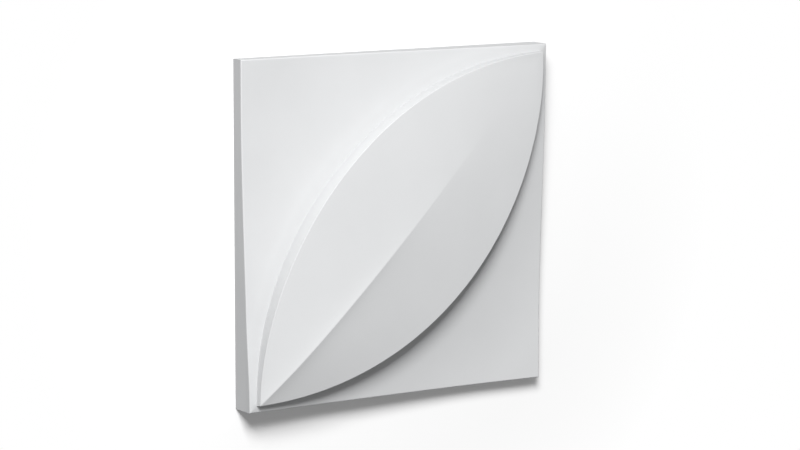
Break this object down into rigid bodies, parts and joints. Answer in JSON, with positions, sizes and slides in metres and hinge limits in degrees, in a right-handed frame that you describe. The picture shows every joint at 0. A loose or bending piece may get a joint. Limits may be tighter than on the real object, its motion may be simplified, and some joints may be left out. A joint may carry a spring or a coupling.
{
  "type": "3d wall panel tile",
  "caption": "Square relief wall tile with one raised leaf along its diagonal over a coved ground; laid turned, tiles make flowers.",
  "frame": {"origin": "centre of the flat back face, on the surface that the tile lies on", "axes": "+Z out of the relief face, +X and +Y along the square's sides, the leaf from the -X -Y corner (stem) to the +X +Y corner (tip)"},
  "size_m": [0.333, 0.333, 0.0525],
  "materials": {
    "tile_primer": "matt white primer"
  },
  "bodies": {
    "root": {"leaf_tile": "tile_primer"}
  },
  "joints": []
}
